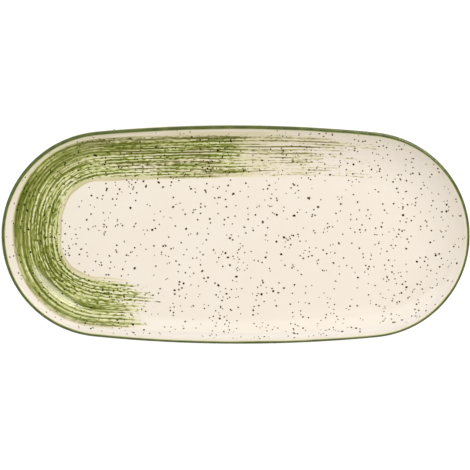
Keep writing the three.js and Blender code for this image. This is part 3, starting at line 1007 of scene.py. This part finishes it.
def speck_tree():
    """Scatters flat grains over the skins of the glaze, thicker in some places than in others"""
    tree, given, result = new_tree("iron specks", {
        "Outside": "NodeSocketObject",
        "Underside": "NodeSocketObject",
        "Paint": "NodeSocketObject",
        "Density": "NodeSocketFloat",
        "Clump Size": "NodeSocketFloat",
        "Smallest": "NodeSocketFloat",
        "Usual": "NodeSocketFloat",
        "Largest": "NodeSocketFloat",
        "Thickness": "NodeSocketFloat",
        "Seed": "NodeSocketInt",
        "Material": "NodeSocketMaterial",
    })
    skins = node(tree, "GeometryNodeJoinGeometry", {"Geometry": given.outputs["Geometry"]})
    for label in ("Outside", "Underside"):
        other = node(tree, "GeometryNodeObjectInfo", {"Object": given.outputs[label]})
        tree.links.new(other.outputs["Geometry"], skins.inputs["Geometry"])
    here = node(tree, "GeometryNodeInputPosition")
    skin = node(tree, "GeometryNodeInputNamedAttribute", {"Name": "skin"}, data_type="FLOAT")
    fineness = node(tree, "ShaderNodeMath", {0: 1.0, 1: given.outputs["Clump Size"]}, operation="DIVIDE")
    clump = node(tree, "ShaderNodeTexNoise", {"Vector": here, "Scale": fineness, "Detail": 1.0})
    low, high, fewer, more = SPECK_CLUMPS
    crowd = node(tree, "ShaderNodeMapRange", {
        "Value": clump, "From Min": low, "From Max": high, "To Min": fewer, "To Max": more,
    })
    on_skin = node(tree, "ShaderNodeMath", {0: skin, 1: crowd}, operation="MULTIPLY")
    density = node(tree, "ShaderNodeMath", {0: on_skin, 1: given.outputs["Density"]}, operation="MULTIPLY")
    spots = node(
        tree, "GeometryNodeDistributePointsOnFaces",
        {"Mesh": skins, "Density": density, "Seed": given.outputs["Seed"]}, distribute_method="RANDOM",
    )

    # A grain is a ball one unit across, flattened to a lens and marked with how far out each point lies
    ball = node(tree, "GeometryNodeMeshUVSphere", {
        "Segments": GRAIN_SIDES, "Rings": GRAIN_RINGS, "Radius": GRAIN_RADIUS,
    })
    spoke = node(
        tree, "ShaderNodeVectorMath", {0: here, 1: (1 / GRAIN_RADIUS, 1 / GRAIN_RADIUS, 0)},
        operation="MULTIPLY",
    )
    edge = node(tree, "ShaderNodeVectorMath", {0: spoke}, operation="LENGTH")
    grain = node(
        tree, "GeometryNodeStoreNamedAttribute",
        {"Geometry": ball.outputs["Mesh"], "Name": "grain_edge", "Value": edge.outputs["Value"]},
        data_type="FLOAT",
    )

    # Most grains are up to the usual size, and a few are larger
    chance = node(tree, "FunctionNodeRandomValue", {"Seed": given.outputs["Seed"]}, data_type="FLOAT")
    usual = node(
        tree, "ShaderNodeMapRange",
        {"Value": chance, "To Min": given.outputs["Smallest"], "To Max": given.outputs["Usual"]},
    )
    rare = node(tree, "ShaderNodeMath", {0: chance, 1: SPECK_RARITY}, operation="POWER")
    excess = node(
        tree, "ShaderNodeMath", {0: given.outputs["Largest"], 1: given.outputs["Usual"]},
        operation="SUBTRACT",
    )
    grown = node(tree, "ShaderNodeMath", {0: rare, 1: excess, 2: usual}, operation="MULTIPLY_ADD")

    # Those that the green touches look larger and darker
    paint = node(tree, "GeometryNodeObjectInfo", {"Object": given.outputs["Paint"]})
    nearest = node(
        tree, "GeometryNodeProximity", {"Geometry": paint.outputs["Geometry"], "Sample Position": here},
        target_element="FACES",
    )
    touched = node(
        tree, "ShaderNodeMath", {0: nearest.outputs["Distance"], 1: PAINT_REACH}, operation="LESS_THAN"
    )
    film = node(tree, "GeometryNodeSampleNearestSurface", {
        "Mesh": paint.outputs["Geometry"],
        "Value": node(tree, "GeometryNodeInputNamedAttribute", {"Name": "film"}, data_type="FLOAT"),
        "Sample Position": here,
    }, data_type="FLOAT")
    start, full = PAINTED_FILM
    depth = node(
        tree, "ShaderNodeMapRange", {"Value": film.outputs["Value"], "From Min": start, "From Max": full}
    )
    covered = node(tree, "ShaderNodeMath", {0: touched, 1: depth}, operation="MULTIPLY")
    growth = node(
        tree, "ShaderNodeMath", {0: covered, 1: PAINTED_GROWTH, 2: 1.0}, operation="MULTIPLY_ADD"
    )
    across = node(tree, "ShaderNodeMath", {0: grown, 1: growth}, operation="MULTIPLY")
    shortest, longest = SPECK_STRETCH
    stretch = node(
        tree, "FunctionNodeRandomValue", {"Min": shortest, "Max": longest, "Seed": STRETCH_SEED},
        data_type="FLOAT",
    )
    along = node(tree, "ShaderNodeMath", {0: across, 1: stretch}, operation="MULTIPLY")
    size = node(tree, "ShaderNodeCombineXYZ", {"X": across, "Y": along, "Z": given.outputs["Thickness"]})
    grains = node(tree, "GeometryNodeInstanceOnPoints", {
        "Points": spots.outputs["Points"],
        "Instance": grain,
        "Rotation": spots.outputs["Rotation"],
        "Scale": size,
    })

    # Each grain has a tone of its own, and the largest ones are dark
    shade = node(tree, "FunctionNodeRandomValue", {"Seed": TONE_SEED}, data_type="FLOAT")
    darker = node(tree, "ShaderNodeMath", {0: shade, 1: rare}, operation="ADD")
    toned = node(
        tree, "GeometryNodeStoreNamedAttribute", {"Geometry": grains, "Name": "tone", "Value": darker},
        data_type="FLOAT", domain="INSTANCE",
    )
    marked = node(
        tree, "GeometryNodeStoreNamedAttribute", {"Geometry": toned, "Name": "painted", "Value": covered},
        data_type="FLOAT", domain="INSTANCE",
    )
    end_tree(tree, given, result, marked)
    return tree


# Pieces
cream = cream_glaze()
face_points, face_marks = coat(0, lip_start)
outside_points, outside_marks = coat(lip_end, outside_end)
base_points, base_marks = coat(len(stations) - 1, base_start)
lip_points, lip_marks = coat(lip_start, lip_end)
clay_points = [point for point, out in stations]

clay_body = swept_piece("clay_body", clay_points, False, {}, bare_clay())
cream_face = swept_piece("cream_face", face_points, False, face_marks, cream)
cream_outside = swept_piece("cream_outside", outside_points, True, outside_marks, cream)
cream_underside = swept_piece("cream_underside", base_points, False, base_marks, cream)
green_lip = swept_piece("green_lip", lip_points, True, lip_marks, lip_glaze())

guide, sweep_length = sweep_guide()
green_brushwork = run_tree(guide, brush_sweep_tree(), {
    "Lanes": SWEEP_LANES,
    "Margin": SWEEP_MARGIN,
    "Length": sweep_length,
    "Wall Inset": wall_inset,
    "Wall Height": wall_height,
    "Wall Radius": WALL_RADIUS - GLAZE_THICKNESS,
    "Film": SWEEP_FILM,
    "Weld": SWEEP_WELD,
    "Material": sweep_glaze(sweep_length),
}, "green_brushwork")
green_brushwork.data.shade_smooth()
green_brushwork.data.set_sharp_from_angle(angle=CRISP_ANGLE)

iron_specks = run_tree(cream_face, speck_tree(), {
    "Outside": cream_outside,
    "Underside": cream_underside,
    "Paint": green_brushwork,
    "Density": SPECK_DENSITY,
    "Clump Size": SPECK_CLUMP_SIZE,
    "Smallest": SPECK_SMALLEST,
    "Usual": SPECK_USUAL,
    "Largest": SPECK_LARGEST,
    "Thickness": SPECK_THICKNESS,
    "Seed": SPECK_SEED,
    "Material": speck_glaze(),
}, "iron_specks")
iron_specks.data.shade_smooth()

for helper in (outline, guide):
    bpy.data.objects.remove(helper)

for piece, nodes, finish in (
    (clay_body, ["stoneware_body"], "stoneware_clay"),
    (cream_face, ["face_glaze"], "cream_glaze"),
    (cream_outside, ["wall_glaze"], "cream_glaze"),
    (cream_underside, ["base_glaze"], "cream_glaze"),
    (green_lip, ["rim_band"], "green_rim_glaze"),
    (green_brushwork, ["brush_stroke"], "green_brush_glaze"),
    (iron_specks, [], "cream_glaze"),
):
    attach(piece, "root")
    if nodes:
        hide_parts(*nodes)

# Stage: a table under a sky, both of which show as white. A radiance of 1 is white.
WHITE = linear("FFFFFF")
TABLE_SIZE = 8.0
TABLE_WHITE = linear("C4C4C4")
TABLE_ROUGHNESS = 0.9
TABLE_GLOW = 0.68
SKY = 0.505

# Lamps: direction from the plate, distance, width, height, radiance and colour. A highlight behind right
# and a dim strip behind are only mirrored in the glaze. The others light the plate and aren't mirrored.
MIRRORED_LAMPS = (
    ("highlight", (0.385, 0.64, 0.665), 1.5, 1.0, 0.42, 31.0, "FFF8EC"),
    ("strip behind", (-0.2, 0.95, 0.28), 3.0, 4.0, 1.8, 1.55, "FFFFFF"),
)
LIGHTING_LAMPS = (
    ("softbox behind right", (0.37, 0.617, 0.695), 3.0, 1.68, 1.08, 8.4, "FFFFFF"),
    ("fill left", (-0.7, -0.45, 0.5), 3.0, 2.4, 2.4, 2.1, "FFFFFF"),
    ("fill right", (0.85, -0.15, 0.5), 3.0, 2.4, 2.4, 1.35, "FFFFFF"),
)


def seen_ray(tree):
    """1 for the rays that show the background: from the camera, by a reflection or through glass"""
    light_path = node(tree, "ShaderNodeLightPath")
    seen = light_path.outputs["Is Camera Ray"]
    for kind in ("Is Glossy Ray", "Is Transmission Ray"):
        ray = light_path.outputs[kind]
        seen = node(tree, "ShaderNodeMath", {0: seen, 1: ray}, operation="MAXIMUM")
    return seen


# White paper: matt and even, so that it shows as a plain white ground with the plate's shadow on it
def white_table():
    material, tree, shader = new_material("white paper table")
    shader.inputs["Base Color"].default_value = TABLE_WHITE
    shader.inputs["Roughness"].default_value = TABLE_ROUGHNESS
    shader.inputs["Specular IOR Level"].default_value = 0.0
    shader.inputs["Emission Color"].default_value = WHITE
    glow = node(tree, "ShaderNodeMath", {0: seen_ray(tree), 1: TABLE_GLOW}, operation="MULTIPLY")
    tree.links.new(glow.outputs["Value"], shader.inputs["Emission Strength"])
    mesh = bpy.data.meshes.new("table")
    reach = TABLE_SIZE / 2
    corners = [(-reach, -reach, 0), (reach, -reach, 0), (reach, reach, 0), (-reach, reach, 0)]
    mesh.from_pydata(corners, [], [(0, 1, 2, 3)])
    mesh.materials.append(material)
    table = bpy.data.objects.new("table", mesh)
    bpy.context.scene.collection.objects.link(table)
    return table


def white_sky():
    world = bpy.data.worlds.new("white tent")
    world.use_nodes = True
    tree = world.node_tree
    strength = node(tree, "ShaderNodeMapRange", {"Value": seen_ray(tree), "To Min": SKY, "To Max": 1.0})
    background = tree.nodes["Background"]
    background.inputs["Color"].default_value = WHITE
    tree.links.new(strength.outputs["Result"], background.inputs["Strength"])
    return world


def softbox(name, direction, distance, width, height, radiance, colour):
    """Flat oval lamp that faces the plate"""
    lamp = bpy.data.lights.new(name, "AREA")
    lamp.shape = "ELLIPSE"
    lamp.size = width
    lamp.size_y = height
    area = math.pi / 4 * width * height
    lamp.energy = radiance * math.pi * area
    lamp.color = linear(colour)[:3]
    holder = bpy.data.objects.new(name, lamp)
    holder.location = Vector(direction).normalized() * distance
    holder.rotation_euler = (-holder.location).to_track_quat("-Z", "Y").to_euler()
    bpy.context.scene.collection.objects.link(holder)
    return holder


white_table()
bpy.context.scene.world = white_sky()
for lamp in MIRRORED_LAMPS:
    softbox(*lamp).visible_diffuse = False
for lamp in LIGHTING_LAMPS:
    softbox(*lamp).visible_glossy = False

# Camera: almost straight above, a little from the near side, with a long lens
CAMERA_DISTANCE = 1.6
CAMERA_ELEVATION = math.radians(84)
CAMERA_ROLL = math.radians(0.155)
CAMERA_AIM = Vector((-0.42 * MM, -0.8 * MM, lip_height))
IMAGE_PIXELS = 470
PLATE_PIXELS = 468.3
SENSOR_WIDTH = 36.0

camera_data = bpy.data.cameras.new("camera")
camera_data.sensor_width = SENSOR_WIDTH
seen_width = 2 * half_length * IMAGE_PIXELS / PLATE_PIXELS
camera_data.lens = SENSOR_WIDTH * CAMERA_DISTANCE / seen_width
camera = bpy.data.objects.new("camera", camera_data)
back = Vector((0, -math.cos(CAMERA_ELEVATION), math.sin(CAMERA_ELEVATION)))
camera.location = CAMERA_AIM + back * CAMERA_DISTANCE
look = (-back).to_track_quat("-Z", "Y")
camera.rotation_euler = (look @ Quaternion((0, 0, 1), CAMERA_ROLL)).to_euler()
bpy.context.scene.collection.objects.link(camera)
bpy.context.scene.camera = camera
bpy.context.scene.view_settings.view_transform = "Standard"
